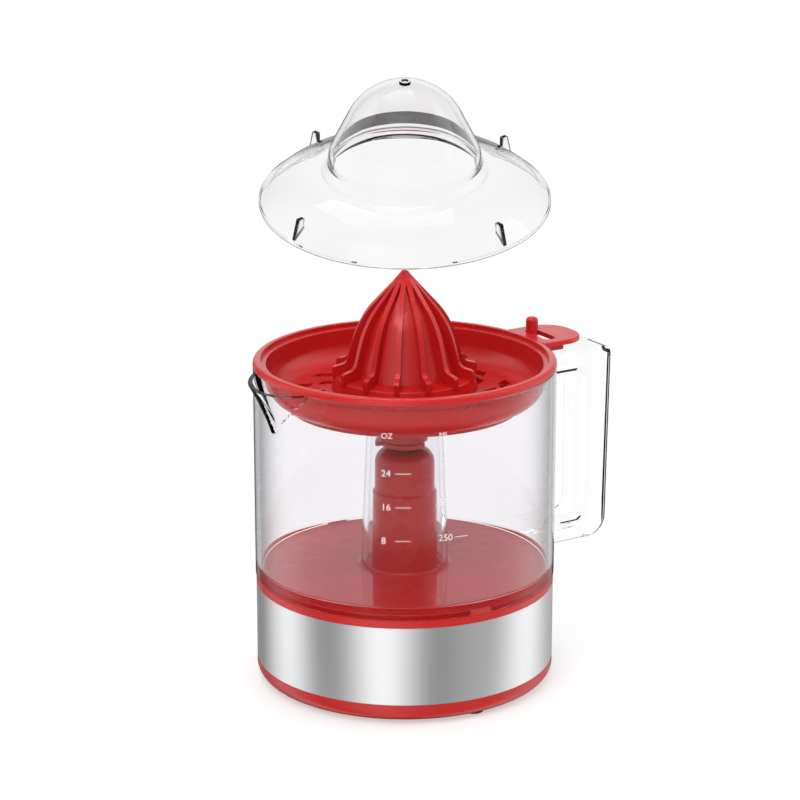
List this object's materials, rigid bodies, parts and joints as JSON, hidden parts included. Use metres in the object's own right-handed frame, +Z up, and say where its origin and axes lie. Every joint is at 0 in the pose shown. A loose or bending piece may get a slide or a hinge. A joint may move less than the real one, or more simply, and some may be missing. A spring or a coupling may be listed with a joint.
{
  "type": "citrus press juicer",
  "caption": "Citrus press juicer: a ribbed reamer turns in a red sieve dish on a clear jug over a round motor base, with a domed lid and a peg that sets how much pulp passes.",
  "frame": {"origin": "middle of the length from spout to handle and of the width, in the plane of the feet; the drive axis is at x = -15.1 mm", "axes": "+Z up along the drive axis, +X towards the jug handle, -X towards the spout"},
  "size_m": [0.1871, 0.1408, 0.2873],
  "materials": {
    "red_plastic": "glossy moulded red",
    "clear_plastic": "clear, polished",
    "brushed_band": "brushed round the band",
    "plain_steel": "plain",
    "dark_rubber": "matt",
    "white_nylon": "matt",
    "bronze_bush": "sintered",
    "copper_coil": "enamelled wire",
    "dark_magnet": "matt",
    "black_switch": "matt"
  },
  "bodies": {
    "base": {"base_pan": "red_plastic", "base_feet": "dark_rubber", "base_screws": "plain_steel", "steel_band": "brushed_band", "base_cover": "red_plastic", "upper_bush": "bronze_bush", "tower_seal": "dark_rubber", "cord_gland": "dark_rubber", "gear_plate": "plain_steel", "plate_screws": "plain_steel", "lower_bush": "bronze_bush", "idler_pin": "plain_steel", "idler_clip": "plain_steel", "return_spring": "plain_steel", "motor_case": "plain_steel", "motor_end_plate": "plain_steel", "motor_screws": "plain_steel", "motor_coil": "copper_coil", "switch_body": "black_switch"},
    "output_wheel": {"output_gear": "white_nylon"},
    "spindle": {"drive_shaft": "plain_steel", "spring_seat": "white_nylon"},
    "idler": {"idler_gear": "white_nylon"},
    "rotor": {"rotor_magnet": "dark_magnet", "rotor_shaft": "plain_steel", "motor_pinion": "white_nylon"},
    "start_lever": {"switch_lever": "plain_steel"},
    "start_button": {"switch_button": "black_switch"},
    "jug_body": {"jug": "clear_plastic", "jug_handle": "clear_plastic"},
    "sieve_body": {"sieve": "red_plastic"},
    "adjuster": {"pulp_adjuster": "red_plastic", "adjuster_peg": "red_plastic"},
    "lid_body": {"lid": "clear_plastic"},
    "sleeve": {"drive_sleeve": "red_plastic", "sleeve_clip": "red_plastic"},
    "cone": {"reamer": "red_plastic"}
  },
  "joints": [
    {"name": "jug_lift", "type": "slide", "parent": "base", "child": "jug_body", "axis": [0, 0, 1], "range_m": [0, 0.12]},
    {"name": "sieve_lift", "type": "slide", "parent": "jug_body", "child": "sieve_body", "axis": [0, 0, 1], "range_m": [0, 0.06]},
    {"name": "lid_lift", "type": "hinge", "parent": "sieve_body", "child": "lid_body", "pos_m": [-0.17339, -0.25332, 0.191], "axis": [0.848, -0.5299, 0], "range_deg": [-14.5, 0]},
    {"name": "pulp_adjust", "type": "hinge", "parent": "sieve_body", "child": "adjuster", "pos_m": [-0.0151, 0, 0.1337], "axis": [0, 0, 1], "range_deg": [-10.5, 0]},
    {"name": "reamer_spin", "type": "hinge", "parent": "sieve_body", "child": "sleeve", "pos_m": [-0.0151, 0, 0.13], "axis": [0, 0, 1], "continuous": true},
    {"name": "reamer_press", "type": "slide", "parent": "sleeve", "child": "cone", "axis": [0, 0, 1], "range_m": [-0.0025, 0], "stiffness_N_per_m": 1600, "springref_m": 0.003},
    {"name": "output_spin", "type": "hinge", "parent": "base", "child": "output_wheel", "pos_m": [-0.0151, 0, 0.04], "axis": [0, 0, 1], "continuous": true},
    {"name": "spindle_press", "type": "slide", "parent": "output_wheel", "child": "spindle", "axis": [0, 0, 1], "range_m": [-0.0025, 0], "deforming": ["return_spring"]},
    {"name": "idler_spin", "type": "hinge", "parent": "base", "child": "idler", "pos_m": [-0.03336, -0.019, 0.035], "axis": [0, 0, 1], "continuous": true},
    {"name": "rotor_spin", "type": "hinge", "parent": "base", "child": "rotor", "pos_m": [-0.0151, -0.038, 0.02], "axis": [0, 0, 1], "continuous": true},
    {"name": "start_lever_tilt", "type": "hinge", "parent": "base", "child": "start_lever", "pos_m": [-0.0151, 0.027, 0.0162], "axis": [1, 0, 0], "range_deg": [0, 7.6]},
    {"name": "start_button_press", "type": "slide", "parent": "base", "child": "start_button", "axis": [0, 0, 1], "range_m": [-0.00106, 0]}
  ],
  "couplings": [
    {"joint": "output_spin", "follows": "reamer_spin", "ratio": 1},
    {"joint": "idler_spin", "follows": "reamer_spin", "ratio": -2.5},
    {"joint": "rotor_spin", "follows": "reamer_spin", "ratio": 6.25},
    {"joint": "spindle_press", "follows": "reamer_press", "ratio": 1},
    {"joint": "start_lever_tilt", "follows": "reamer_press", "rad_per_m": -52.6},
    {"joint": "start_button_press", "follows": "reamer_press", "ratio": 0.42}
  ]
}
